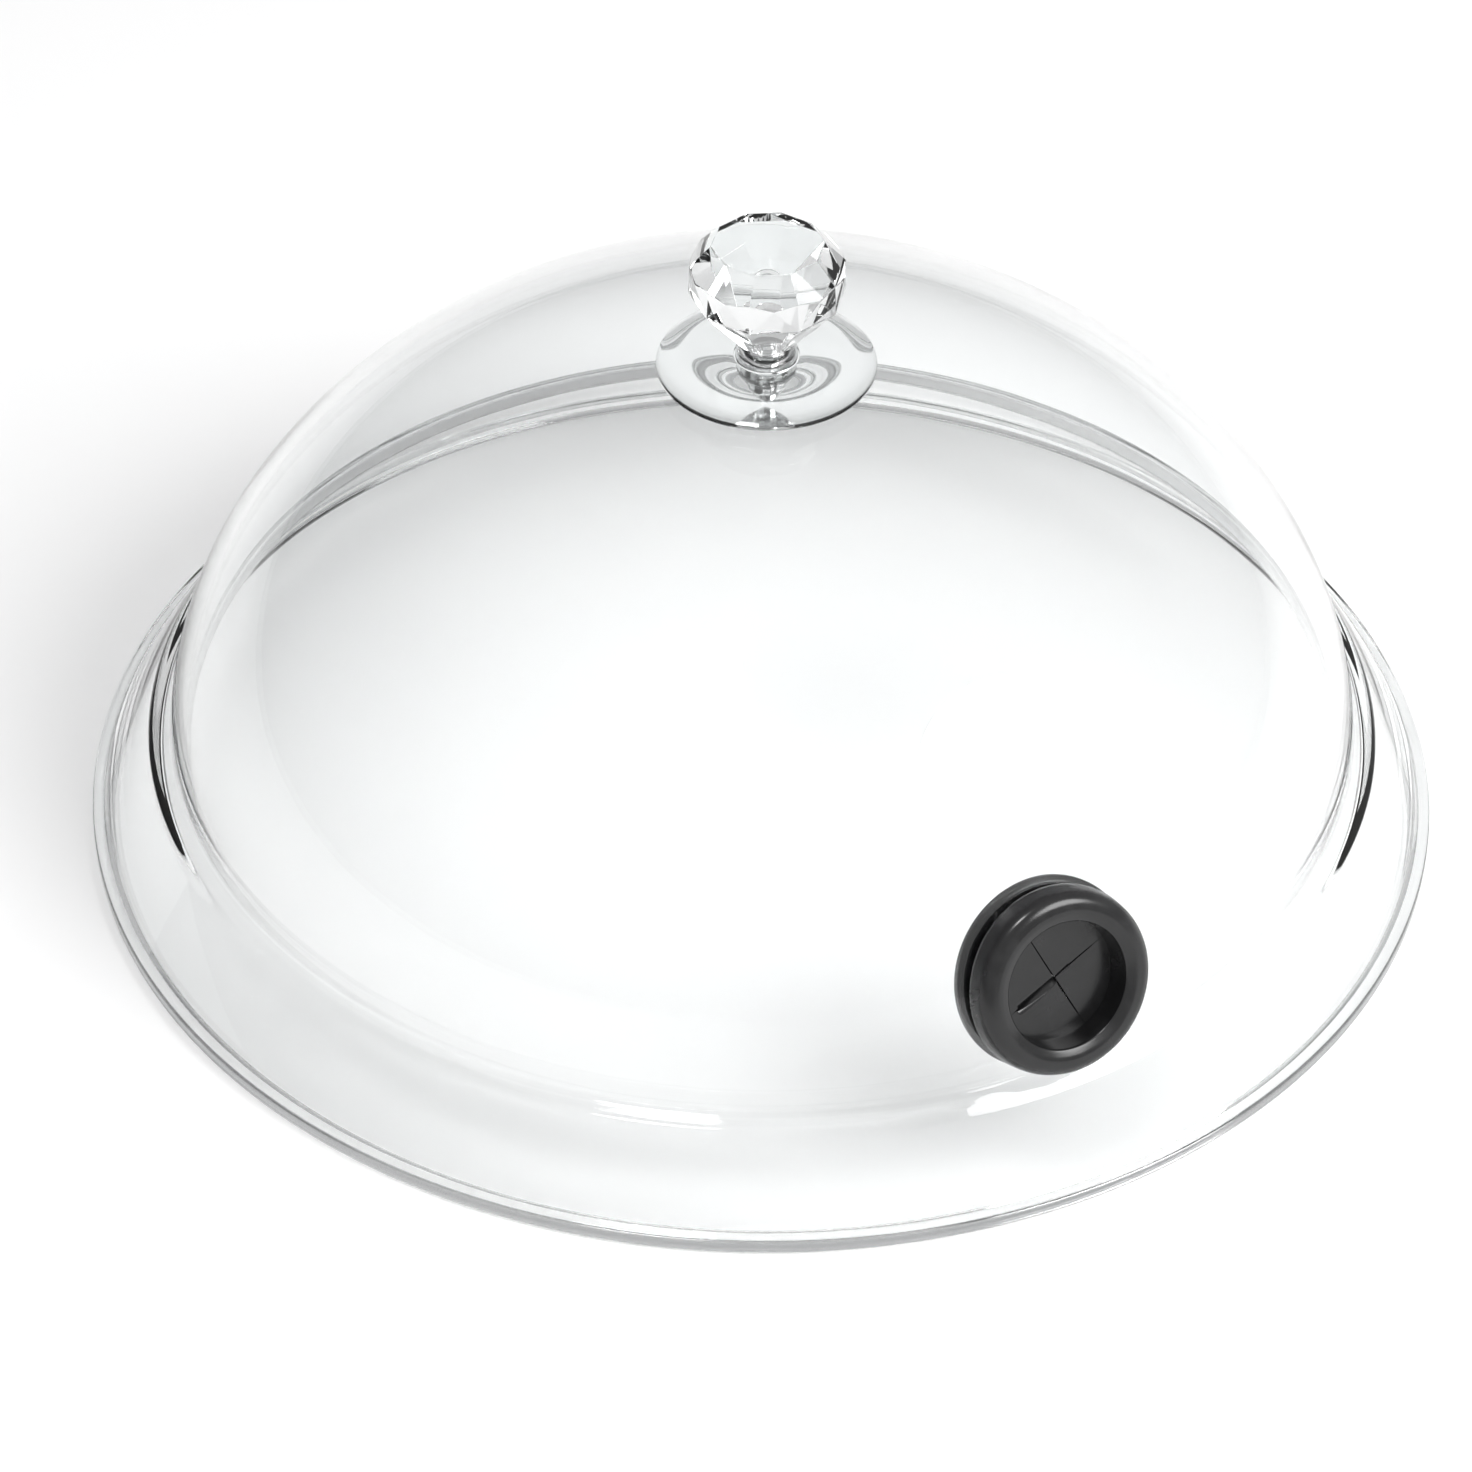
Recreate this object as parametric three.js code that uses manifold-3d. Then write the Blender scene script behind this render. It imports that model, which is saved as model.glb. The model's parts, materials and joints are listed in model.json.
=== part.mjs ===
// Clear domed cover with a flared rim, a faceted knob and a slit-valve port.
// Millimetres, +Z up. The origin is the centre of the circle that the rim stands on, and the port
// faces -Y.
import * as THREE from "three";
import { mergeVertices } from "three/addons/utils/BufferGeometryUtils.js";
import { ConvexGeometry } from "three/addons/geometries/ConvexGeometry.js";
import Module from "manifold-3d";

const wasm = await Module();
wasm.setup();

// ---------------------------------------------------------------- driving dimensions
const gap = 0.3;                    // air left between pieces that touch on the real object

// Dome: the wall above the shoulder follows (r/a)^p + ((z - foot)/h)^q = 1.
const wall = 3;
const dome = { radius: 111.2, foot: 19, height: 79, powerR: 2.06, powerZ: 1.75 };
const domeSteps = 14;               // facets up the dome wall
const domeSides = 60;               // facets round it
const topHoleRadius = 2.5;

// Rim: a thick lip, a straight flared skirt and a shallow shoulder under the wall.
const rim = {
  lipRadius: 127,
  lipHeight: 3.2,
  lipEdge: 0.6,
  lipInnerRadius: 121.6,
  skirtFoot: [125, 3.2],
  skirtTop: [115.8, 17.0],
};

// Port: a rubber grommet in a round hole low on the wall, and its slit membrane.
const port = { radius: 107.6, height: 35.7, tilt: 21.1 };
const grommet = {
  flange: 17.2,
  neck: 13,
  bore: 11.2,
  mouth: 12.9,
  crown: 15,
  front: 4.8,
  back: -7.2,
};
const membrane = { front: -0.6, thickness: 1.2 };
const flap = {
  hingeDistance: 6.36,              // from the port's centre to each flap's bending line
  slit: 0.3,                        // width of the cut between flaps
  slitTurn: 23,                     // the cut's turn about the port's axis, in degrees
  cornerTrim: 0.9,
  tipTrim: 0.6,
};

// Knob: a disc with a flared neck, and a ten-sided cut head.
const disc = { radius: 19.9, clearance: 0.45, edge: 2.1, pocket: 5.9, pocketRoof: 99.1 };
const neck = { waist: 4.8, top: 102.5, bore: 2.4 };
const head = {
  sides: 10,
  turn: -41.5,                      // one upright edge's angle from -Y towards +X, in degrees
  foot: [5.1, 102.8],               // [corner radius, height]
  girdleLow: [14.1, 113.6],
  girdleCorner: [13.9, 119.3],      // above each upright edge
  girdleMiddle: [14, 118.5],        // half-way between two upright edges, a little lower
  table: [10.1, 123.4],
};

// Fastening, all on the dome's axis.
const screw = { radius: 2, seat: 92.1, length: 16, headRadius: 3.8, headHeight: 2.5 };
const washer = { inner: 2.3, outer: 4.6, low: 92.4, high: 93.2 };
const innerSeal = { inner: 2.3, outer: 5.4, low: 93.5, high: 94.5 };
const gasket = { inner: 2.6, outer: 5.5, low: 98.3, high: 98.8 };

// ---------------------------------------------------------------- helpers
const degrees = (angle) => THREE.MathUtils.degToRad(angle);

// Only positions are kept, equal corners are joined and triangles without area are dropped.
function weld(geometry) {
  const bare = geometry.clone();
  bare.deleteAttribute("normal");
  bare.deleteAttribute("uv");
  const merged = mergeVertices(bare, 1e-4);
  const source = merged.index.array;
  const kept = [];
  for (let i = 0; i < source.length; i += 3) {
    const [a, b, c] = source.slice(i, i + 3);
    if (a !== b && b !== c && c !== a) {
      kept.push(a, b, c);
    }
  }
  merged.setIndex(kept);
  return merged;
}

function toSolid(geometry) {
  const welded = weld(geometry);
  return new wasm.Manifold(new wasm.Mesh({
    numProp: 3,
    vertProperties: new Float32Array(welded.attributes.position.array),
    triVerts: new Uint32Array(welded.index.array),
  }));
}

function toGeometry(solid) {
  const mesh = solid.getMesh();
  const geometry = new THREE.BufferGeometry();
  geometry.setAttribute("position", new THREE.BufferAttribute(mesh.vertProperties, 3));
  geometry.setIndex(new THREE.BufferAttribute(mesh.triVerts, 1));
  geometry.computeVertexNormals();
  return geometry;
}

// Turns a profile of [radius, height] points, listed anticlockwise, about the Z axis.
function turned(profile, sides) {
  const points = profile.map(([radius, height]) => new THREE.Vector2(radius, height));
  return new THREE.LatheGeometry(points, sides).rotateX(Math.PI / 2);
}

// A plain ring of square section.
function ring({ inner, outer, low, high }, sides) {
  return turned([[inner, low], [outer, low], [outer, high], [inner, high], [inner, low]], sides);
}

function roundBar(radius, low, high, sides) {
  const bar = new THREE.CylinderGeometry(radius, radius, high - low, sides);
  return bar.rotateX(Math.PI / 2).translate(0, 0, (low + high) / 2);
}

const plastic = (color, opacity) => new THREE.MeshStandardMaterial({
  color,
  opacity,
  transparent: opacity < 1,
  roughness: 0.05,
  metalness: 0,
});
const finishes = {
  acrylic: () => plastic(0xf4f7f8, 0.25),
  crystal: () => plastic(0xf7f9fa, 0.35),
  silicone: () => new THREE.MeshStandardMaterial({ color: 0xe6e8e8, roughness: 0.45 }),
  rubber: () => new THREE.MeshStandardMaterial({ color: 0x1a1a1b, roughness: 0.5 }),
  hardware: () => plastic(0xf2f4f5, 0.5),
};

function part(name, geometry, finish) {
  const mesh = new THREE.Mesh(geometry, finishes[finish]());
  mesh.name = name;
  return mesh;
}

// ---------------------------------------------------------------- dome shell
// Points on the wall's curve, moved inwards by depth, from the foot to the edge of the top hole.
function wallCurve(depth) {
  const radius = dome.radius - depth;
  const height = dome.height - depth;
  const points = [];
  for (let step = 0; step < domeSteps; step += 1) {
    const angle = (step / domeSteps) * (Math.PI / 2);
    const r = radius * Math.cos(angle) ** (2 / dome.powerR);
    const z = dome.foot + height * Math.sin(angle) ** (2 / dome.powerZ);
    points.push([r, z]);
  }
  return points;
}

// The curve's own height at a given radius.
function wallHeight(r, depth = 0) {
  const across = (r / (dome.radius - depth)) ** dome.powerR;
  return dome.foot + (dome.height - depth) * (1 - across) ** (1 / dome.powerZ);
}

// The skirt is a straight band, so its inner side is its outer side moved along the band's normal.
function skirtInner([r, z]) {
  const along = new THREE.Vector2(rim.skirtTop[0] - rim.skirtFoot[0], rim.skirtTop[1] - rim.skirtFoot[1]);
  along.normalize();
  return [r - along.y * wall, z + along.x * wall];
}

function domeProfile() {
  const [skirtRadius, skirtHeight] = rim.skirtTop;
  const outerRim = [
    [rim.lipInnerRadius, 0],
    [rim.lipRadius - rim.lipEdge, 0],
    [rim.lipRadius, rim.lipEdge],
    [rim.lipRadius, rim.lipHeight - 2 * rim.lipEdge],
    [rim.lipRadius - 2 * rim.lipEdge, rim.lipHeight],
    rim.skirtFoot,
    rim.skirtTop,
    [skirtRadius - 1.6, skirtHeight + 1.2],
    [dome.radius + 0.6, dome.foot - 0.3],
  ];
  const outerTop = [topHoleRadius, wallHeight(topHoleRadius)];
  const innerTop = [topHoleRadius, wallHeight(topHoleRadius, wall)];
  const innerRim = [
    [dome.radius - wall + 0.6, dome.foot - wall],
    skirtInner(rim.skirtTop),
    skirtInner(rim.skirtFoot),
  ];
  return [
    ...outerRim,
    ...wallCurve(0),
    outerTop,
    innerTop,
    ...wallCurve(wall).reverse(),
    ...innerRim,
    outerRim[0],
  ];
}

// The port's own axes: X across, Y up the wall and Z straight out of it.
const portFrame = new THREE.Matrix4().makeRotationX(Math.PI / 2 - degrees(port.tilt));
portFrame.setPosition(0, -port.radius, port.height);

function domeShell() {
  const body = toSolid(turned(domeProfile(), domeSides));
  const hole = roundBar(grommet.neck + gap, -10, 10, 48).applyMatrix4(portFrame);
  return toGeometry(body.subtract(toSolid(hole)));
}

// ---------------------------------------------------------------- port grommet and valve flaps
// The wall with air on both sides of it, in the port's axes.
function wallWithAir() {
  const outer = wallCurve(-gap);
  const inner = wallCurve(wall + gap).reverse();
  const foot = [outer[0][0], 0];
  const innerFoot = [inner[inner.length - 1][0], 0];
  const profile = [foot, ...outer, ...inner, innerFoot, foot];
  return turned(profile, domeSides).applyMatrix4(portFrame.clone().invert());
}

function grommetProfile() {
  const { flange, bore, mouth, crown, front, back } = grommet;
  const membraneBack = membrane.front - membrane.thickness;
  return [
    [0, membraneBack],
    [bore, membraneBack],
    [bore, back + 0.7],
    [bore + 0.7, back],
    [flange - 1.8, back],
    [flange - 0.5, back + 0.7],
    [flange, back + 2],
    [flange, front - 3],
    [flange - 0.6, front - 1.2],
    [crown, front],
    [mouth + 0.5, front - 0.4],
    [mouth, front - 1.3],
    [bore + 0.4, membrane.front + 0.8],
    [bore, membrane.front],
    [0, membrane.front],
  ];
}

const flapTurns = [45, 135, 225, 315].map((angle) => degrees(flap.slitTurn + angle));
const hingeRadius = membrane.thickness / 2;
const hingeDepth = membrane.front - hingeRadius;

function portGrommet() {
  const blank = toSolid(turned(grommetProfile(), 48));
  const neckCore = toSolid(roundBar(grommet.neck, -12, 12, 48));
  const groove = toSolid(wallWithAir()).subtract(neckCore);
  const side = 2 * (flap.hingeDistance + hingeRadius + gap);
  const window = new THREE.BoxGeometry(side, side, 4 * membrane.thickness);
  window.rotateZ(flapTurns[0]).translate(0, 0, hingeDepth);
  return toGeometry(blank.subtract(groove).subtract(toSolid(window)));
}

// One flap: X runs from the bending line to the middle of the cross, Y along the bending line.
function flapGeometry() {
  const reach = flap.hingeDistance;
  const cut = flap.slit / Math.SQRT2;
  const halfWidth = reach - flap.cornerTrim;
  const side = new THREE.Shape();
  side.absarc(0, 0, hingeRadius, Math.PI / 2, (3 * Math.PI) / 2, false);
  side.lineTo(reach, -hingeRadius);
  side.lineTo(reach, hingeRadius);
  side.closePath();
  const slab = new THREE.ExtrudeGeometry(side, { depth: 2 * reach, bevelEnabled: false, curveSegments: 6 });
  slab.translate(0, 0, -reach).rotateX(Math.PI / 2);
  const tip = reach - flap.tipTrim;
  const outline = new THREE.Shape([
    new THREE.Vector2(-2 * hingeRadius, -halfWidth),
    new THREE.Vector2(reach - cut - halfWidth, -halfWidth),
    new THREE.Vector2(tip, -(reach - cut - tip)),
    new THREE.Vector2(tip, reach - cut - tip),
    new THREE.Vector2(reach - cut - halfWidth, halfWidth),
    new THREE.Vector2(-2 * hingeRadius, halfWidth),
  ]);
  const prism = new THREE.ExtrudeGeometry(outline, { depth: 4 * hingeRadius, bevelEnabled: false });
  prism.translate(0, 0, -2 * hingeRadius);
  return toGeometry(toSolid(slab).intersect(toSolid(prism)));
}

function valvePort() {
  const group = new THREE.Group();
  group.applyMatrix4(portFrame);
  group.add(part("port_grommet", portGrommet(), "rubber"));
  const names = ["top", "left", "bottom", "right"];
  flapTurns.forEach((turn, index) => {
    const mesh = part(`valve_flap_${names[index]}`, flapGeometry(), "rubber");
    mesh.position.set(
      flap.hingeDistance * Math.cos(turn),
      flap.hingeDistance * Math.sin(turn),
      hingeDepth,
    );
    mesh.rotation.z = turn + Math.PI;
    group.add(mesh);
  });
  return group;
}

// ---------------------------------------------------------------- knob
// The disc's underside keeps an even distance from the dome, with a flat pocket for the gasket.
function knobBase() {
  const under = (r) => [r, wallHeight(r) + disc.clearance];
  const rimLow = under(disc.radius - 0.5)[1];
  const rimHigh = rimLow + disc.edge;
  const profile = [
    [neck.bore, disc.pocketRoof],
    [disc.pocket, disc.pocketRoof],
    under(disc.pocket),
    under(14),
    under(disc.radius - 0.5),
    [disc.radius, rimLow + 0.5],
    [disc.radius, rimLow + 0.9],
    [disc.radius - 0.7, rimLow + 1.6],
    [disc.radius - 2.4, rimHigh],
    [14, rimHigh + 0.4],
    [9, rimHigh + 0.7],
    [6.6, rimHigh + 1],
    [5.4, rimHigh + 1.6],
    [neck.waist, rimHigh + 2.4],
    [neck.waist, neck.top - 0.2],
    [neck.waist + 0.2, neck.top],
    [neck.bore, neck.top],
    [neck.bore, disc.pocketRoof],
  ];
  return turned(profile, 48);
}

// A ring of corners at the head's own angles; halfStep turns it by half a side.
function cornerRing([radius, height], halfStep) {
  const corners = [];
  for (let side = 0; side < head.sides; side += 1) {
    const angle = degrees(head.turn) + ((side + halfStep) * 2 * Math.PI) / head.sides;
    corners.push(new THREE.Vector3(radius * Math.sin(angle), -radius * Math.cos(angle), height));
  }
  return corners;
}

function knobHead() {
  const cut = new ConvexGeometry([
    ...cornerRing(head.foot, 0),
    ...cornerRing(head.girdleLow, 0),
    ...cornerRing(head.girdleCorner, 0),
    ...cornerRing(head.girdleMiddle, 0.5),
    ...cornerRing(head.table, 0),
  ]);
  const tip = screw.seat + screw.length;
  const socket = roundBar(screw.radius + gap, head.foot[1] - 2, tip + gap, 24);
  return toGeometry(toSolid(cut).subtract(toSolid(socket)));
}

// ---------------------------------------------------------------- fastening
function panScrew() {
  const { radius, seat, length, headRadius, headHeight } = screw;
  const base = seat - headHeight;
  const tip = seat + length;
  const profile = [
    [0, base],
    [0.55 * headRadius, base + 0.2],
    [0.9 * headRadius, base + 0.9],
    [headRadius, base + 1.7],
    [headRadius, seat],
    [radius, seat],
    [radius, tip - 0.6],
    [radius - 0.6, tip],
    [0, tip],
  ];
  const slotLength = 1.1 * headRadius;
  const slots = [[slotLength, 1], [1, slotLength]].map(([x, y]) => {
    const slot = new THREE.BoxGeometry(x, y, 3);
    return toSolid(slot.translate(0, 0, base));
  });
  return toGeometry(toSolid(turned(profile, 24)).subtract(slots[0]).subtract(slots[1]));
}

// ---------------------------------------------------------------- assembly
const cover = new THREE.Group();
cover.add(
  part("dome_shell", domeShell(), "acrylic"),
  valvePort(),
  part("knob_head", knobHead(), "crystal"),
  part("knob_base", knobBase(), "crystal"),
  part("knob_gasket", ring(gasket, 32), "silicone"),
  part("inner_seal", ring(innerSeal, 32), "silicone"),
  part("screw_washer", ring(washer, 32), "hardware"),
  part("knob_screw", panScrew(), "hardware"),
);

export default cover;
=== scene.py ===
# %% [markdown]
# # A clear domed cover with a cut knob and a slit-valve port
# The cover is a thick-walled acrylic dome that stands on a flared rim. A clear cut knob lifts it, and
# a black rubber grommet low on one side lets a hose in through a membrane that is cut with a cross.
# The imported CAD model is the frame: its boxes, joints and record give every place and size here, and
# the pieces below are finer surfaces that stand where its solids stand.

# %% Load the frame
import json
import math
import bmesh
import bpy
import numpy as np
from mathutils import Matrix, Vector


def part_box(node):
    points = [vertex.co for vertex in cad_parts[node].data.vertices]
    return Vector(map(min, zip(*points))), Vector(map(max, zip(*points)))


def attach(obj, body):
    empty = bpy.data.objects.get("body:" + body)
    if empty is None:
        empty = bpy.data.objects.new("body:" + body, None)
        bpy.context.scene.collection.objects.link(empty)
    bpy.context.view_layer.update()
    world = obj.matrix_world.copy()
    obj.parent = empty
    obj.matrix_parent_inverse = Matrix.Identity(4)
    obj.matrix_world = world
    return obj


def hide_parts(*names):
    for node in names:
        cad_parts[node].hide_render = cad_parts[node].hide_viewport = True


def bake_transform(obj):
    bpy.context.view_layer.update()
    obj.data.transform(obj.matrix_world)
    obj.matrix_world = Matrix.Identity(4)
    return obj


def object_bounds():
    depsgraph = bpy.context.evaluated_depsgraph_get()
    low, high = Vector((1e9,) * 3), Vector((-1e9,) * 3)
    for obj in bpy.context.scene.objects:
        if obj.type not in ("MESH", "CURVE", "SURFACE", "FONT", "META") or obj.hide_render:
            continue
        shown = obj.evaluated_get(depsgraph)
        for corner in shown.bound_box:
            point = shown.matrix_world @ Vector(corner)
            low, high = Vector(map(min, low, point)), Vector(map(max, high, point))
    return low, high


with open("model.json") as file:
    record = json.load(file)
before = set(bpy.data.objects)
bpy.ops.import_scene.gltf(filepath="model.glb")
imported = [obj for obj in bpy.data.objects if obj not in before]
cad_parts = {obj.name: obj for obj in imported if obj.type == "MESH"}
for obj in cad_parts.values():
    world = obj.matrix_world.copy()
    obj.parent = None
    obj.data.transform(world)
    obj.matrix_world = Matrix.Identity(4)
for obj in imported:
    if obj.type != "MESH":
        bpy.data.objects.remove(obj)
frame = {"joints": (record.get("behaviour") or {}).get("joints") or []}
cad_low, cad_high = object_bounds()
MM = 0.001
print("CAD box in mm:", [round(side / MM, 1) for side in cad_high - cad_low])

# %% [markdown]
# ## The camera
# A lens of about 130 mm from one metre flattens the dome's ellipses a little, as product pictures do.
# The camera is placed by its distance, its height angle and its angle round the dome. Its own axes
# come from the line of sight, so the aim can be moved across the picture by a few millimetres and the
# picture can be turned about the line of sight, which a Track To constraint alone couldn't do.

# %% Set the camera
def view_axes(azimuth, elevation):
    """The camera's right, up and backward directions for a line of sight to the origin."""
    across, upward = math.radians(azimuth), math.radians(elevation)
    back = Vector((
        math.sin(across) * math.cos(upward),
        -math.cos(across) * math.cos(upward),
        math.sin(upward),
    ))
    right = Vector((0, 0, 1)).cross(back).normalized()
    return right, back.cross(right), back


def make_camera(azimuth, elevation, distance, lens, aim, roll):
    """A camera that looks from that angle at a point moved by aim, (right, up) in metres."""
    right, up, back = view_axes(azimuth, elevation)
    place = back * distance
    line = place - (right * aim[0] + up * aim[1])
    turn = line.to_track_quat("Z", "Y").to_matrix().to_4x4()
    camera = bpy.data.objects.new("camera", bpy.data.cameras.new("camera"))
    camera.data.lens = lens
    camera.data.sensor_width = 36
    camera.data.clip_start = 0.01
    camera.matrix_world = turn
    camera.location = place
    camera.rotation_euler.rotate_axis("Z", math.radians(roll))
    bpy.context.scene.collection.objects.link(camera)
    bpy.context.scene.camera = camera
    return camera


camera = make_camera(
    azimuth=-28.6, elevation=40.55, distance=1.0, lens=127.9, aim=(-4.9 * MM, 7.7 * MM), roll=0.5
)
print("camera at", [round(value, 3) for value in camera.location])

# %% [markdown]
# ## Colours and nodes
# A material is a graph of nodes. Colours are written as the sRGB hex values that a paint chart gives,
# and one function turns them to the linear light that the shaders add up. One more function adds a
# node, sets its settings and links its inputs, so that each material below reads as a short recipe.

# %% Helpers for colours and nodes
def linear(hex_colour):
    """An sRGB hex colour as linear red, green, blue and alpha."""
    channels = [int(hex_colour[i:i + 2], 16) / 255 for i in (1, 3, 5)]
    light = [c / 12.92 if c <= 0.04045 else ((c + 0.055) / 1.055) ** 2.4 for c in channels]
    return (*light, 1.0)


def add_node(tree, kind, inputs=None, **settings):
    """Adds a node, gives it its settings, and sets or links each named input."""
    node = tree.nodes.new(kind)
    for name, value in settings.items():
        setattr(node, name, value)
    for name, value in (inputs or {}).items():
        socket = node.inputs[name]
        if isinstance(value, bpy.types.NodeSocket):
            tree.links.new(value, socket)
        else:
            socket.default_value = value
    return node


def new_material(name):
    """An empty material: its node tree and its output node."""
    material = bpy.data.materials.new(name)
    material.use_nodes = True
    material.node_tree.nodes.clear()
    output = add_node(material.node_tree, "ShaderNodeOutputMaterial")
    return material, material.node_tree, output


# %% [markdown]
# ## Floor and light
# Clear plastic shows only what it bends and mirrors, so the room matters more than the material. The
# floor is pale and wide. The sky is bright overhead and in front, and grey behind and on the left:
# curved edges look sideways into that grey, and that draws them. A soft lamp in front on the right
# gives the soft shadow, and a small one overhead gives the rubber its highlight.

# %% Pale floor
def pale_floor(half_width):
    """A flat square on the plane that the cover stands on."""
    corners = np.array([[-1, -1, 0], [1, -1, 0], [1, 1, 0], [-1, 1, 0]], float) * half_width
    mesh = bpy.data.meshes.new("floor")
    mesh.from_pydata((corners + [0, 0, cad_low.z - 0.02 * MM]).tolist(), [], [(0, 1, 2, 3)])
    floor = bpy.data.objects.new("floor", mesh)
    bpy.context.scene.collection.objects.link(floor)
    return floor


floor = pale_floor(12)
paper, tree, output = new_material("matt white paper")
shader = add_node(
    tree, "ShaderNodeBsdfPrincipled",
    {"Base Color": linear("#f4f4f4"), "Roughness": 0.9, "Specular IOR Level": 0.2},
)
tree.links.new(shader.outputs["BSDF"], output.inputs["Surface"])
floor.data.materials.append(paper)


# %% Sky that is bright above and in front, grey behind
def studio_sky(bright_side, dark, light, strength, fade=0.45):
    """A sky whose grey follows the dot product of the direction looked in and the bright side."""
    world = bpy.data.worlds.new("studio")
    world.use_nodes = True
    tree = world.node_tree
    tree.nodes.clear()
    look = add_node(tree, "ShaderNodeTexCoord")
    side = add_node(
        tree, "ShaderNodeVectorMath", {0: look.outputs["Generated"], 1: bright_side},
        operation="DOT_PRODUCT",
    )
    share = add_node(
        tree, "ShaderNodeMapRange",
        {"Value": side.outputs["Value"], "From Min": -fade, "From Max": fade, "To Min": 0, "To Max": 1},
    )
    ramp = add_node(tree, "ShaderNodeValToRGB", {"Fac": share.outputs["Result"]})
    ramp.color_ramp.elements[0].color = linear(dark)
    ramp.color_ramp.elements[1].color = linear(light)
    glow = add_node(
        tree, "ShaderNodeBackground", {"Color": ramp.outputs["Color"], "Strength": strength}
    )
    output = add_node(tree, "ShaderNodeOutputWorld")
    tree.links.new(glow.outputs["Background"], output.inputs["Surface"])
    bpy.context.scene.world = world


studio_sky(bright_side=(0.3, -0.7, 0.65), dark="#a2a2a4", light="#ffffff", strength=0.68)


# %% Soft lamps
def soft_lamp(name, azimuth, elevation, distance, size, power):
    """A round lamp that hangs in that direction and faces the cover."""
    back = view_axes(azimuth, elevation)[2]
    lamp = bpy.data.objects.new(name, bpy.data.lights.new(name, "AREA"))
    lamp.data.shape = "DISK"
    lamp.data.size = size
    lamp.data.energy = power
    lamp.location = back * distance
    lamp.rotation_euler = back.to_track_quat("Z", "Y").to_euler()
    bpy.context.scene.collection.objects.link(lamp)
    return lamp


soft_lamp("key lamp", azimuth=35, elevation=42, distance=1.5, size=0.9, power=17)
soft_lamp("gloss lamp", azimuth=-69, elevation=76, distance=1.2, size=0.25, power=3.2)
bpy.context.scene.view_settings.view_transform = "Standard"

# %% [markdown]
# ## Surfaces from numbers
# All pieces but the knob's head and the flaps are a profile carried round an axis. A profile is a list
# of a few corners, and one function rounds each corner with an arc of its own radius, as a moulder
# rounds a tool's edges. A second function carries rings of points into a mesh: `grid[i, j]` is the
# point of ring i at angle j, and faces join each point to its neighbours.

# %% Helpers for profiles and grids
def rounded(corners, radii, steps=6, closed=True):
    """A polyline with its corners rounded.

    At each corner the arc starts and ends at radius * tan(turn / 2) from the corner, along the two
    edges. Points between are on a quadratic curve through those ends, which is close to the arc.
    Columns after the first two, such as a weight, are carried along with the position.
    """
    corners = np.asarray(corners, float)
    before, after = np.roll(corners, 1, axis=0), np.roll(corners, -1, axis=0)
    to_before, to_after = before - corners, after - corners
    length_before = np.linalg.norm(to_before[:, :2], axis=1)
    length_after = np.linalg.norm(to_after[:, :2], axis=1)
    cosine = np.sum(to_before[:, :2] * to_after[:, :2], axis=1) / (length_before * length_after)
    inside = np.arccos(np.clip(cosine, -1, 1))
    cut = np.asarray(radii, float) / np.tan(np.maximum(inside, 0.05) / 2)
    cut = np.minimum(cut, 0.48 * np.minimum(length_before, length_after))
    start = corners + to_before * (cut / length_before)[:, None]
    end = corners + to_after * (cut / length_after)[:, None]
    share = np.linspace(0, 1, steps + 1)[None, :, None]
    curve = (
        (1 - share) ** 2 * start[:, None]
        + 2 * share * (1 - share) * corners[:, None]
        + share ** 2 * end[:, None]
    )
    curve[np.asarray(radii) == 0] = corners[np.asarray(radii) == 0][:, None]
    if not closed:
        curve[0], curve[-1] = corners[0], corners[-1]
    flat = curve.reshape(-1, corners.shape[1])
    step = np.linalg.norm(np.diff(flat, axis=0, prepend=flat[:1] + 1), axis=1)
    return flat[step > 1e-6]


def stretched(points, longest):
    """The same polyline with its long edges divided, so that no edge is over that length."""
    ends = np.roll(points, -1, axis=0)
    counts = np.maximum(1, np.ceil(np.linalg.norm((ends - points)[:, :2], axis=1) / longest))
    counts = counts.astype(int)
    index = np.repeat(np.arange(len(points)), counts)
    offset = np.arange(len(index)) - np.repeat(np.cumsum(counts) - counts, counts)
    share = (offset / counts[index])[:, None]
    return points[index] + (ends - points)[index] * share


def object_from(name, points, faces):
    """A mesh object from arrays of points, in metres, and of faces."""
    mesh = bpy.data.meshes.new(name)
    mesh.from_pydata(np.asarray(points).tolist(), [], np.asarray(faces).tolist())
    mesh.validate()
    piece = bpy.data.objects.new(name, mesh)
    bpy.context.scene.collection.objects.link(piece)
    return piece


def grid_faces(rows, columns, wrap_rows, wrap_columns):
    """Four-cornered faces between neighbours of a grid whose points are numbered row by row."""
    row = np.arange(rows if wrap_rows else rows - 1)[:, None]
    column = np.arange(columns if wrap_columns else columns - 1)[None, :]
    next_row, next_column = (row + 1) % rows, (column + 1) % columns
    corners = [
        row * columns + column,
        row * columns + next_column,
        next_row * columns + next_column,
        next_row * columns + column,
    ]
    return np.stack(np.broadcast_arrays(*corners), axis=-1).reshape(-1, 4)


def turned(name, profile, sides):
    """A profile of (radius, height) in mm, closed on itself, turned about the Z axis.

    Point (i, j) is (r_i cos a_j, r_i sin a_j, z_i), with a_j = 2 pi j / sides.
    """
    angle = np.arange(sides) * 2 * np.pi / sides
    radius, height = profile[:, :1], profile[:, 1:2]
    grid = np.stack([radius * np.cos(angle), radius * np.sin(angle), height + 0 * angle], axis=-1)
    faces = grid_faces(len(profile), sides, wrap_rows=True, wrap_columns=True)
    return object_from(name, grid.reshape(-1, 3) * MM, faces)


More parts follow.
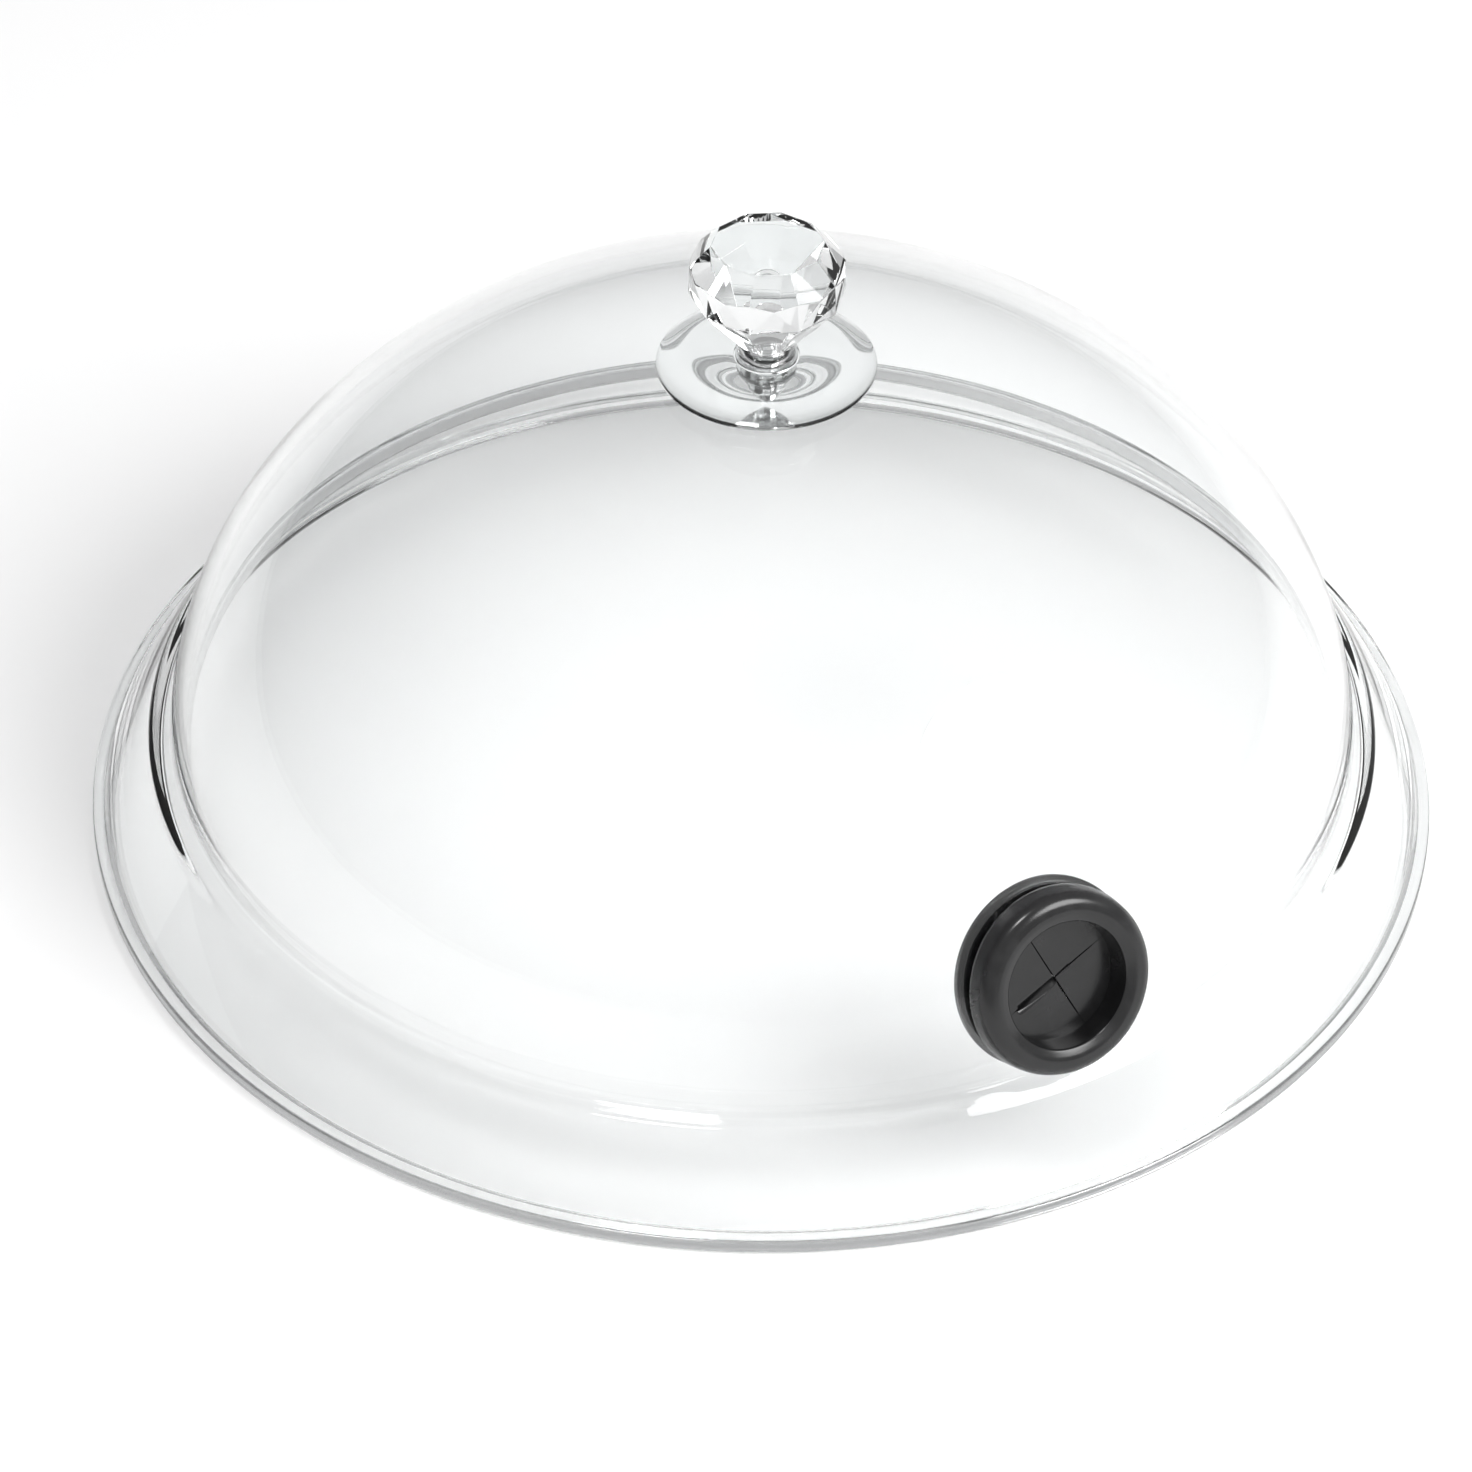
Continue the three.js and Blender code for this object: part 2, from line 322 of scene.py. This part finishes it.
def finish_mesh(piece, sharp_over=35):
    """Points faces outwards, shades them smooth, and keeps edges sharp that turn more than that."""
    work = bmesh.new()
    work.from_mesh(piece.data)
    bmesh.ops.remove_doubles(work, verts=work.verts, dist=0.002 * MM)
    bmesh.ops.recalc_face_normals(work, faces=work.faces)
    limit = math.radians(sharp_over)
    for edge in work.edges:
        edge.smooth = edge.calc_face_angle(0) < limit
    for face in work.faces:
        face.smooth = True
    work.to_mesh(piece.data)
    open_edges = sum(1 for edge in work.edges if not edge.is_manifold)
    work.free()
    print(f"{piece.name}: {len(piece.data.polygons)} faces, {open_edges} open edges")
    return piece


# %% [markdown]
# ## The dome shell
# The real shell is one thick wall of cast or moulded acrylic: a lip that stands on the table, a
# straight flared skirt, a narrow shoulder and the dome. The dome isn't part of a sphere. Its wall
# leaves the shoulder upright and flattens at the top, which a superellipse,
# (r / a)^p + (z / h)^q = 1, follows with two powers. The inner wall is the same curve with a and h
# less by the wall's thickness, so that light bends twice and the edges read as thick.

# %% Dome profile
shell_low, shell_high = (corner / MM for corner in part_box("dome_shell"))
wall = 3.0
dome = {"radius": 111.2, "foot": 19.0, "power_r": 2.06, "power_z": 1.75}
dome["height"] = shell_high.z - dome["foot"]
rim_radius = shell_high.x


def wall_curve(depth, angles):
    """Points (r, z) of the wall's curve, moved in by depth: r = a cos^(2/p) and z = h sin^(2/q)."""
    r = (dome["radius"] - depth) * np.cos(angles) ** (2 / dome["power_r"])
    z = dome["foot"] + (dome["height"] - depth) * np.sin(angles) ** (2 / dome["power_z"])
    return np.stack([r, z], axis=1)


def wall_height(r, depth=0.0):
    """The wall curve's height at a radius."""
    across = (r / (dome["radius"] - depth)) ** dome["power_r"]
    return dome["foot"] + (dome["height"] - depth) * (1 - across) ** (1 / dome["power_z"])


def shell_profile(top_hole=2.5):
    """The whole section, anticlockwise: lip, skirt, shoulder, outer wall, inner wall, inner skirt."""
    angles = np.linspace(0.06, np.pi / 2, 64)
    outer, inner = wall_curve(0, angles), wall_curve(wall, angles)
    outer_rim = rounded(
        [
            [rim_radius - 5.4, 0], [rim_radius, 0], [rim_radius, 3.2], [rim_radius - 2, 3.2],
            [rim_radius - 11.9, 18.1], [dome["radius"], 18.6], outer[0],
        ],
        [0, 0.9, 1.3, 0.5, 2.6, 2.0, 0],
        closed=False,
    )
    inner_rim = rounded(
        [inner[0], [dome["radius"] - wall, 17.0], [rim_radius - 14.1, 14.8], [rim_radius - 4.7, 1.2],
         [rim_radius - 5.4, 0.3]],
        [0, 2.4, 3.0, 0.5, 0],
        closed=False,
    )
    outer = outer[(outer[:, 0] > top_hole) & (outer[:, 1] > outer[0, 1])]
    inner = inner[(inner[:, 0] > top_hole) & (inner[:, 1] > inner[0, 1])]
    hole = [[top_hole, wall_height(top_hole)], [top_hole, wall_height(top_hole, wall)]]
    return np.concatenate([outer_rim, outer, hole, inner[::-1], inner_rim])


profile = shell_profile()
print("dome profile:", len(profile), "points, top at", round(profile[:, 1].max(), 2), "mm")

# %% [markdown]
# ## The port's place
# The four flaps' hinge points and lines come from the frame. The hinges lie in one plane, the middle
# of the membrane, so the mean of their points is its centre, and the cross product of two hinge lines
# is the direction straight out of the port. The port then has its own axes: across, up, and out.

# %% Port axes from the hinges
hinges = {joint["child"]: joint for joint in frame["joints"]}
hinge_points = {body: np.array(joint["pos_m"]) / MM for body, joint in hinges.items()}
membrane_centre = np.mean(list(hinge_points.values()), axis=0)
outward = np.cross(hinges["flap_top"]["axis"], hinges["flap_left"]["axis"])
outward /= np.linalg.norm(outward)
across = np.array([1.0, 0.0, 0.0])
upward = np.cross(outward, across)
membrane_depth = 1.2
port_centre = membrane_centre + membrane_depth * outward
print("port centre in mm:", port_centre.round(2), "outward:", outward.round(3))


def on_port(x, y, t):
    """Points in mm from distances across, up and out of the port."""
    return port_centre + x[..., None] * across + y[..., None] * upward + t[..., None] * outward


def wall_out(x, y):
    """How far out the dome's outer wall lies at (x, y) on the port, by Newton's method.

    The wall is where F = (r / a)^p + (z / h)^q - 1 is zero on the line that runs along the port's
    outward direction. Each step moves by -F / F', with F' from a small difference.
    """
    def misfit(t):
        point = on_port(x, y, t)
        r = np.hypot(point[..., 0], point[..., 1]) / dome["radius"]
        z = np.maximum(point[..., 2] - dome["foot"], 0) / dome["height"]
        return r ** dome["power_r"] + z ** dome["power_z"] - 1

    t = np.zeros(np.broadcast(x, y).shape)
    for _ in range(8):
        slope = (misfit(t + 0.01) - misfit(t - 0.01)) / 0.02
        t = t - misfit(t) / slope
    return t


# %% [markdown]
# ## Making the shell
# The profile is turned about the axis in 256 steps, fine enough that the outline shows no corners.
# The port's hole is then cut with a boolean: a round bar along the port's outward direction, a little
# wider than the rubber's neck. The cut's edges stay under the rubber's two lips.

# %% Dome shell with its port hole
def round_bar(radius, back, front, sides=96):
    """A closed cylinder along the port's outward direction, between two distances in mm."""
    section = np.array([[0, back], [radius, back], [radius, front], [0, front]])
    angle = np.arange(sides) * 2 * np.pi / sides
    r, t = section[:, :1], section[:, 1:]
    grid = on_port(r * np.cos(angle), r * np.sin(angle), t + 0 * angle)
    faces = grid_faces(4, sides, wrap_rows=False, wrap_columns=True)
    return finish_mesh(object_from("cutter", grid.reshape(-1, 3) * MM, faces))


def cut_away(piece, cutter):
    """Cuts one closed mesh out of another and removes the cutter."""
    tool = piece.modifiers.new("cut", "BOOLEAN")
    tool.operation = "DIFFERENCE"
    tool.solver = "EXACT"
    tool.object = cutter
    shaped = bpy.data.meshes.new_from_object(piece.evaluated_get(bpy.context.evaluated_depsgraph_get()))
    piece.modifiers.clear()
    piece.data = shaped
    shaped.name = piece.name
    bpy.data.objects.remove(cutter)
    return piece


neck_radius = 13.0
shell = finish_mesh(turned("moulded_dome_shell", profile, sides=256))
cut_away(shell, round_bar(neck_radius + 0.3, -12, 12))
finish_mesh(shell)
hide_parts("dome_shell")
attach(shell, "cover")

# %% [markdown]
# ## The rubber grommet
# The grommet is one moulded ring of black rubber, stretched into the hole so that its groove grips the
# wall. Its section is turned about the port's outward direction, but the wall curves away under it, so
# its two lips can't be flat. Each corner of the section carries a weight beside its place: 0 stays on
# the flat ring, 1 follows the wall, and the rounding carries the weight along.

# %% Grommet
lip_radius, bore_radius = 17.1, 11.2
lip_front, lip_back = 4.75, -7.15


def grommet_section():
    """The closed section, (radius, distance out, how far it follows the wall)."""
    corners = [
        [bore_radius, lip_back + 0.4, 0], [bore_radius, -0.2, 0], [11.6, 4.1, 0], [13.4, lip_front, 0],
        [15.4, 4.5, 0], [16.7, 3.2, 0], [lip_radius, 0.9, 0.8], [16.3, 0.1, 1], [neck_radius, 0.1, 1],
        [neck_radius, -wall - 0.1, 1], [16.3, -wall - 0.1, 1], [lip_radius, -4.0, 0.8],
        [lip_radius - 0.1, lip_back, 0], [12.6, lip_back, 0],
    ]
    radii = [0.8, 0.6, 0.6, 3.0, 4.0, 4.0, 0.9, 0.3, 0.3, 0.3, 0.3, 0.7, 1.8, 1.2]
    return stretched(rounded(corners, radii, steps=8), longest=0.6)


def make_grommet(sides=160):
    """Point (i, j): r_i at angle a_j round the port, at t_i + weight_i * wall(r_i, a_j) out of it."""
    section = grommet_section()
    r, t, weight = section[:, :1], section[:, 1:2], section[:, 2:]
    angle = np.arange(sides) * 2 * np.pi / sides
    x, y = r * np.cos(angle), r * np.sin(angle)
    grid = on_port(x, y, t + weight * wall_out(x, y))
    faces = grid_faces(len(section), sides, wrap_rows=True, wrap_columns=True)
    return finish_mesh(object_from("rubber_grommet", grid.reshape(-1, 3) * MM, faces), sharp_over=60)


grommet = make_grommet()
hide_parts("port_grommet")
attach(grommet, "cover")

# %% [markdown]
# ## The membrane's four flaps
# A cross is cut in the membrane, which leaves four quarter-round flaps that are held along the bore.
# Each flap is a separate piece here, one for each hinge, placed by that hinge's point. It is made of
# loops
# of equal distance from the centre: each loop goes across the flap's front, round the cut edge and
# back.
# One cut has taken a set and gapes, as a cut does where a hose has been pushed in at a slant.

# %% Membrane flaps
def flap_loop(flat_steps=14, round_steps=6):
    """One loop round a strip: (place along its flat, place in its round edge, height), each -1 to 1."""
    flat = np.linspace(-1, 1, flat_steps)
    bend = np.linspace(-90, 90, round_steps + 2)[1:-1] * np.pi / 180
    one, none = np.ones(round_steps), np.zeros(flat_steps)
    along = np.concatenate([flat, one, flat[::-1], -one])
    edge = np.concatenate([none, np.cos(bend), none, -np.cos(bend)])
    height = np.concatenate([none + 1, -np.sin(bend), none - 1, np.sin(bend)])
    return along, edge, height


def end_caps(rows, columns, flat_steps=14):
    """Faces that close the first and last loop: a strip across the flat, and one at each round edge."""
    last_flat, loop = flat_steps - 1, np.arange(columns)
    back_end = columns // 2 + last_flat
    strip = [[k, k + 1, back_end - k - 1, back_end - k] for k in range(last_flat)]
    ends = [loop[last_flat:columns // 2 + 1].tolist(), loop[back_end:].tolist() + [0]]
    first = strip + ends
    return first + [[(rows - 1) * columns + corner for corner in face] for face in first]


def make_flap(name, direction, gape=(0.0, 0.0), thickness=1.2, slit=0.01, slit_end=9.0):
    """A quarter of the membrane, whose middle points in that direction round the port.

    At distance d from the centre the flap spans from -45 to +45 degrees, less the half width of the
    cut on each side, which is nothing past the cut's end. A gaping cut is open at the front of the
    membrane and closed at its back, so its share falls with the loop's height.
    """
    distance = np.concatenate([np.linspace(0.35, 2, 8), np.linspace(2.4, bore_radius + 0.3, 30)])
    distance = distance[:, None]
    open_share = np.clip((slit_end - distance) / slit_end, 0, 1) ** 0.5
    closing = np.clip((distance - slit_end + 0.6) / 1.2, 0, 1)
    along, edge, height = flap_loop()
    front = height / 2 + 0.5
    low_gap, high_gap = ((slit + g * front) * open_share - 0.03 * closing for g in gape)
    low = -np.pi / 4 * distance + low_gap
    high = np.pi / 4 * distance - high_gap
    half = np.maximum((high - low) / 2, 0.04)
    edge_round = np.minimum(0.07, 0.8 * half)
    turn = ((low + high) / 2 + along * (half - edge_round) + edge * edge_round) / distance
    sag = -0.2 * (1 - (distance / bore_radius) ** 2)
    t = -membrane_depth + sag + height * thickness / 2
    turn = turn + math.radians(direction)
    grid = on_port(distance * np.cos(turn), distance * np.sin(turn), t)
    rows, columns = grid.shape[:2]
    faces = grid_faces(rows, columns, wrap_rows=False, wrap_columns=True).tolist()
    faces += end_caps(rows, columns)
    mesh = bpy.data.meshes.new(name)
    mesh.from_pydata((grid.reshape(-1, 3) * MM).tolist(), [], faces)
    piece = bpy.data.objects.new(name, mesh)
    bpy.context.scene.collection.objects.link(piece)
    return finish_mesh(piece, sharp_over=60)


gapes = {"top": (0.1, 0.04), "left": (0.04, 0.3), "bottom": (1.6, 0.1), "right": (0.1, 0.1)}
flaps = []
for side, gape in gapes.items():
    body = f"flap_{side}"
    arm = hinge_points[body] - membrane_centre
    reach = np.linalg.norm(arm)
    direction = math.degrees(math.atan2(arm @ upward, arm @ across))
    flap = make_flap(f"rubber_flap_{side}", direction, gape)
    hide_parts(f"valve_flap_{side}")
    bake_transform(flap)
    flaps.append(flap)
    print(body, "points", round(direction), "degrees, hinge", round(reach, 2), "mm from the centre")

# %% [markdown]
# ## The knob's base
# A clear disc sits on the dome, and its underside follows the dome's curve with a hair of air, as a
# turned or moulded foot does. A flared neck rises from it to the head. Both come from one profile.

# %% Knob base
base_low, base_high = (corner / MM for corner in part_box("knob_base"))
disc_radius = base_high.x
neck_top = base_high.z
waist = 4.8
bore = 2.4
disc_gap = 0.45
pocket_radius, pocket_roof = 5.9, 99.1


def base_section():
    """The closed section: bore, gasket pocket, underside that follows the dome, lens, neck.

    The disc's upper side falls towards its thin edge as z = edge + 0.7 + 2.3 (1 - (r / R)^6).
    """
    r = np.linspace(pocket_radius, disc_radius - 0.3, 18)
    under = np.stack([r, wall_height(r) + disc_gap], axis=1)
    edge = under[-1, 1]
    r = np.linspace(disc_radius - 0.1, waist + 3, 28)
    lens = np.stack([r, edge + 0.7 + 2.3 * (1 - (r / disc_radius) ** 6)], axis=1)
    foot = rounded([lens[-1], [waist, edge + 3.0], [waist, neck_top]], [0, 2.8, 0], 10, closed=False)
    neck = [
        [waist - 0.25, neck_top], [bore, neck_top], [bore, pocket_roof], [pocket_radius, pocket_roof],
    ]
    tip = [
        [disc_radius - 0.12, edge + 0.05], [disc_radius, edge + 0.3], [disc_radius - 0.05, edge + 0.6],
    ]
    return np.concatenate([tip, lens, foot[1:-1], [[waist, neck_top - 0.25]], neck, under])


base = finish_mesh(turned("clear_knob_base", base_section(), sides=144))
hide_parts("knob_base")
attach(base, "cover")

# %% [markdown]
# ## The cut head
# The head is faceted like a cut stone: ten steep facets below, ten upright ones round the girdle, and
# a crown that leads up to a flat table. The facets are flat, so five rings of corners and a convex
# hull give the whole head, and a very small bevel gives each edge the bright line of a polished
# moulding. The screw's socket is cut from below.

# %% Knob head
head_low, head_high = (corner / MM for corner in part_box("knob_head"))
girdle_radius, girdle_foot, girdle_top, girdle_dip = 14.1, 113.6, 119.3, 118.5
foot_radius, table_radius = 5.1, 10.1
first_corner = math.radians(-41.5)
edge_bevel = 0.12


def corner_ring(radius, height, half_steps, sides=10):
    """Corners (R sin a, -R cos a, z), with a = first corner + (i + half_steps / 2) * 36 degrees."""
    angle = first_corner + (np.arange(sides) + half_steps / 2) * 2 * np.pi / sides
    return np.stack([radius * np.sin(angle), -radius * np.cos(angle), height + 0 * angle], axis=1)


def make_head():
    """The convex hull of the rings of corners, bevelled; the socket is cut into it afterwards."""
    rings = np.concatenate([
        corner_ring(foot_radius, head_low.z, 0),
        corner_ring(girdle_radius, girdle_foot, 0),
        corner_ring(girdle_radius - 0.2, girdle_top, 0),
        corner_ring(girdle_radius - 0.1, girdle_dip, 1),
        corner_ring(table_radius, head_high.z, 0),
    ])
    piece = object_from("cut_knob_head", rings * MM, np.zeros((0, 3), int))
    work = bmesh.new()
    work.from_mesh(piece.data)
    bmesh.ops.convex_hull(work, input=work.verts)
    bmesh.ops.dissolve_limit(work, angle_limit=math.radians(1), verts=work.verts, edges=work.edges)
    bmesh.ops.bevel(
        work, geom=work.edges[:], offset=edge_bevel * MM, segments=2, profile=0.5, affect="EDGES"
    )
    work.to_mesh(piece.data)
    work.free()
    return piece


head = finish_mesh(make_head(), sharp_over=8)
screw_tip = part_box("knob_screw")[1].z / MM
socket_radius = 2.3
socket_wall = rounded(
    [[0, head_low.z - 2], [socket_radius, head_low.z - 2], [socket_radius, screw_tip + 0.3],
     [0, screw_tip + 0.3]],
    [0, 0, 0.3, 0], closed=False,
)
cut_away(head, finish_mesh(turned("cutter", socket_wall, sides=48)))
finish_mesh(head, sharp_over=8)
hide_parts("knob_head")
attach(head, "cover")

# %% [markdown]
# ## The fastening
# A clear screw goes up through the dome and the base into the head. A washer and a soft seal lie under
# its head, and a thin soft ring lies between base and dome. All of them are clear, so that they hardly
# show. The shank is plain through the neck and threaded inside the head, and its own head has a cross
# recess. A relief is a formula that pushes a turned surface in and out by angle and height.

# %% Turned pieces with a relief
def turned_with_relief(name, section, sides, relief):
    """A section of (radius, height, weight), turned: r = r_i + weight_i * relief(angle, height)."""
    angle = np.arange(sides) * 2 * np.pi / sides
    r, z, weight = section[:, :1], section[:, 1:2], section[:, 2:]
    r = r + weight * relief(angle, z)
    grid = np.stack([r * np.cos(angle), r * np.sin(angle), z + 0 * angle], axis=-1)
    closed = section[0, 0] > 0
    faces = grid_faces(len(section), sides, wrap_rows=closed, wrap_columns=True)
    return finish_mesh(object_from(name, grid.reshape(-1, 3) * MM, faces))


def thread(angle, z, pitch=0.7, depth=0.3, start=105.0):
    """A 60-degree thread above a height: the ridge falls evenly to both sides of a helix."""
    phase = (z / pitch - angle / (2 * np.pi)) % 1
    groove = np.clip(1.15 - 2.6 * np.abs(phase - 0.5), 0, 1)
    return -depth * groove * np.clip((z - start) / pitch, 0, 1)


def with_weight(points, weight):
    """Adds the same weight to every point of an outline."""
    return np.column_stack([points, np.full(len(points), float(weight))])


# %% Screw, washer and seals
def make_screw():
    """A pan-head screw that stands on its head: cross recess below, thread above."""
    low, high = (corner.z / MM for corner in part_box("knob_screw"))
    seat, head_radius, screw_radius = low + 2.5, 3.8, 1.95
    head_part = rounded(
        [[0, low], [3.0, low], [head_radius, low + 1.3], [head_radius, seat], [screw_radius, seat]],
        [0, 2.5, 0.9, 0.15, 0], closed=False,
    )
    turns = np.arange(seat + 0.3, high - 0.6, 0.07)
    shank = np.column_stack([np.full(len(turns), screw_radius), turns, np.ones(len(turns))])
    tip = with_weight([[1.4, high], [0, high]], 0)
    section = np.concatenate([with_weight(head_part, 0), shank, tip])
    screw = turned_with_relief("knob_screw_m4", section, 40, thread)
    recess_long, recess_wide, recess_deep = 2.1, 0.5, 1.6
    for size_x, size_y in ((recess_long, recess_wide), (recess_wide, recess_long)):
        corners = np.array([[x, y, z] for x in (-size_x, size_x) for y in (-size_y, size_y)
                            for z in (low - 1, low + recess_deep)])
        faces = [(0, 1, 3, 2), (4, 6, 7, 5), (0, 4, 5, 1), (2, 3, 7, 6), (0, 2, 6, 4), (1, 5, 7, 3)]
        cut_away(screw, object_from("cutter", corners * MM, faces))
    return finish_mesh(screw)


def make_ring(name, node, inner, edge):
    """A flat ring in a CAD ring's place, with rounded edges."""
    low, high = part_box(node)
    low, high, outer = low.z / MM, high.z / MM, high.x / MM
    outline = rounded([[inner, low], [outer, low], [outer, high], [inner, high]], [edge] * 4)
    return finish_mesh(turned(name, outline, sides=96))


small_pieces = {
    "knob_screw": (make_screw(), "clear_polycarbonate"),
    "screw_washer": (make_ring("clear_washer", "screw_washer", 2.3, 0.2), "clear_polycarbonate"),
    "inner_seal": (make_ring("soft_inner_seal", "inner_seal", 2.3, 0.35), "clear_silicone"),
    "knob_gasket": (make_ring("soft_knob_gasket", "knob_gasket", 2.6, 0.2), "clear_silicone"),
}
for node, (piece, slot_name) in small_pieces.items():
    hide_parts(node)
    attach(piece, "cover")

# %% [markdown]
# ## Clear acrylic
# Cast acrylic bends light with an IOR of 1.49 and is almost free of colour. A real moulding isn't
# perfectly even, so a long, shallow ripple moves the highlights a little, and faint haze varies the
# roughness. A path tracer sends no lamp light straight through a refracting wall, so a second, plain
# transparent shader takes over for shadow rays. Its grey is fairly dark, because paths that leave the
# floor and pass the plastic by refraction bring most of the light already, and it would be counted
# twice. At a flat angle it is darker still, as real plastic mirrors that light away.
# The screw and washer are clear polycarbonate, which is tougher than acrylic and has an IOR of 1.58.

# %% Acrylic for the dome and for the knob
face_shade, edge_shade = "#b8b8b8", "#404041"


def clear_plastic(name, ior, ripple_mm, ripple, haze):
    """Clear plastic: refraction, a long ripple, uneven haze, and shadow rays that partly pass."""
    material, tree, output = new_material(name)
    place = add_node(tree, "ShaderNodeTexCoord")
    wave = add_node(
        tree, "ShaderNodeTexNoise",
        {"Vector": place.outputs["Object"], "Scale": 1 / (ripple_mm * MM), "Detail": 1.0},
    )
    bump = add_node(
        tree, "ShaderNodeBump",
        {"Height": wave.outputs["Fac"], "Strength": 0.2, "Distance": ripple * MM},
    )
    cloud = add_node(
        tree, "ShaderNodeTexNoise",
        {"Vector": place.outputs["Object"], "Scale": 1 / (6 * MM), "Detail": 4.0},
    )
    rough = add_node(
        tree, "ShaderNodeMapRange",
        {"Value": cloud.outputs["Fac"], "From Min": 0.35, "From Max": 0.75,
         "To Min": 0.0, "To Max": haze},
    )
    plastic = add_node(
        tree, "ShaderNodeBsdfPrincipled",
        {"Base Color": linear("#fdfefe"), "Roughness": rough.outputs["Result"], "IOR": ior,
         "Transmission Weight": 1.0, "Normal": bump.outputs["Normal"]},
    )
    slant = add_node(tree, "ShaderNodeLayerWeight", {"Blend": 0.5})
    loss = add_node(
        tree, "ShaderNodeMapRange",
        {"Value": slant.outputs["Facing"], "From Min": 0.45, "From Max": 1.0, "To Min": 0, "To Max": 1},
    )
    tint = add_node(tree, "ShaderNodeMix", {"Factor": loss.outputs["Result"]}, data_type="RGBA")
    tint.inputs[6].default_value = linear(face_shade)
    tint.inputs[7].default_value = linear(edge_shade)
    through = add_node(tree, "ShaderNodeBsdfTransparent", {"Color": tint.outputs[2]})
    path = add_node(tree, "ShaderNodeLightPath")
    mix = add_node(tree, "ShaderNodeMixShader", {"Fac": path.outputs["Is Shadow Ray"]})
    tree.links.new(plastic.outputs["BSDF"], mix.inputs[1])
    tree.links.new(through.outputs["BSDF"], mix.inputs[2])
    tree.links.new(mix.outputs["Shader"], output.inputs["Surface"])
    return material


dome_acrylic = clear_plastic("moulded clear acrylic", ior=1.49, ripple_mm=40, ripple=0.4, haze=0.03)
knob_acrylic = clear_plastic("polished clear acrylic", ior=1.49, ripple_mm=9, ripple=0.03, haze=0.02)
polycarbonate = clear_plastic(
    "moulded clear polycarbonate", ior=1.58, ripple_mm=5, ripple=0.02, haze=0.05
)

# %% [markdown]
# ## Black rubber
# The grommet is moulded from black rubber. Carbon black keeps it near black, its skin has a soft gloss
# from the mould, and a fine grain and a little dust keep that gloss from looking like paint. The grain
# would be about 0.1 mm, too fine to show at this distance, so it is drawn at 0.35 mm.

# %% Rubber
def moulded_rubber(name, grain_mm=0.35, patch_mm=5):
    """Black rubber with fine grain, uneven gloss and a trace of dust."""
    material, tree, output = new_material(name)
    place = add_node(tree, "ShaderNodeTexCoord")
    grain = add_node(
        tree, "ShaderNodeTexNoise",
        {"Vector": place.outputs["Object"], "Scale": 1 / (grain_mm * MM), "Detail": 2.0},
    )
    patch = add_node(
        tree, "ShaderNodeTexNoise",
        {"Vector": place.outputs["Object"], "Scale": 1 / (patch_mm * MM), "Detail": 3.0},
    )
    dust = add_node(
        tree, "ShaderNodeMapRange",
        {"Value": patch.outputs["Fac"], "From Min": 0.45, "From Max": 0.75, "To Min": 0, "To Max": 1},
    )
    colour = add_node(tree, "ShaderNodeMix", {"Factor": dust.outputs["Result"]}, data_type="RGBA")
    colour.inputs[6].default_value = linear("#121213")
    colour.inputs[7].default_value = linear("#1f1f20")
    rough = add_node(
        tree, "ShaderNodeMapRange",
        {"Value": patch.outputs["Fac"], "From Min": 0.3, "From Max": 0.7,
         "To Min": 0.18, "To Max": 0.28},
    )
    bump = add_node(
        tree, "ShaderNodeBump",
        {"Height": grain.outputs["Fac"], "Strength": 0.35, "Distance": 0.02 * MM},
    )
    shader = add_node(
        tree, "ShaderNodeBsdfPrincipled",
        {"Base Color": colour.outputs[2], "Roughness": rough.outputs["Result"], "IOR": 1.52,
         "Normal": bump.outputs["Normal"]},
    )
    tree.links.new(shader.outputs["BSDF"], output.inputs["Surface"])
    return material


rubber = moulded_rubber("moulded black rubber")

# %% [markdown]
# ## Silicone
# The two soft rings are clear silicone: light passes, but a slightly rough skin from the mould blurs
# it.

# %% Silicone
def clear_silicone(name):
    """Clear silicone with a satin skin and slight cloudiness."""
    material, tree, output = new_material(name)
    place = add_node(tree, "ShaderNodeTexCoord")
    cloud = add_node(
        tree, "ShaderNodeTexNoise",
        {"Vector": place.outputs["Object"], "Scale": 1 / (2 * MM), "Detail": 3.0},
    )
    rough = add_node(
        tree, "ShaderNodeMapRange", {"Value": cloud.outputs["Fac"], "To Min": 0.12, "To Max": 0.3}
    )
    shader = add_node(
        tree, "ShaderNodeBsdfPrincipled",
        {"Base Color": linear("#fafbfb"), "Roughness": rough.outputs["Result"], "IOR": 1.41,
         "Transmission Weight": 1.0},
    )
    tree.links.new(shader.outputs["BSDF"], output.inputs["Surface"])
    return material


silicone = clear_silicone("moulded clear silicone")

# %% Put each finish on its pieces
finishes = {"clear_silicone": silicone, "clear_polycarbonate": polycarbonate}
shell.data.materials.append(dome_acrylic)
for piece in (base, head):
    piece.data.materials.append(knob_acrylic)
for piece in (grommet, *flaps):
    piece.data.materials.append(rubber)
for piece, slot_name in small_pieces.values():
    piece.data.materials.append(finishes[slot_name])
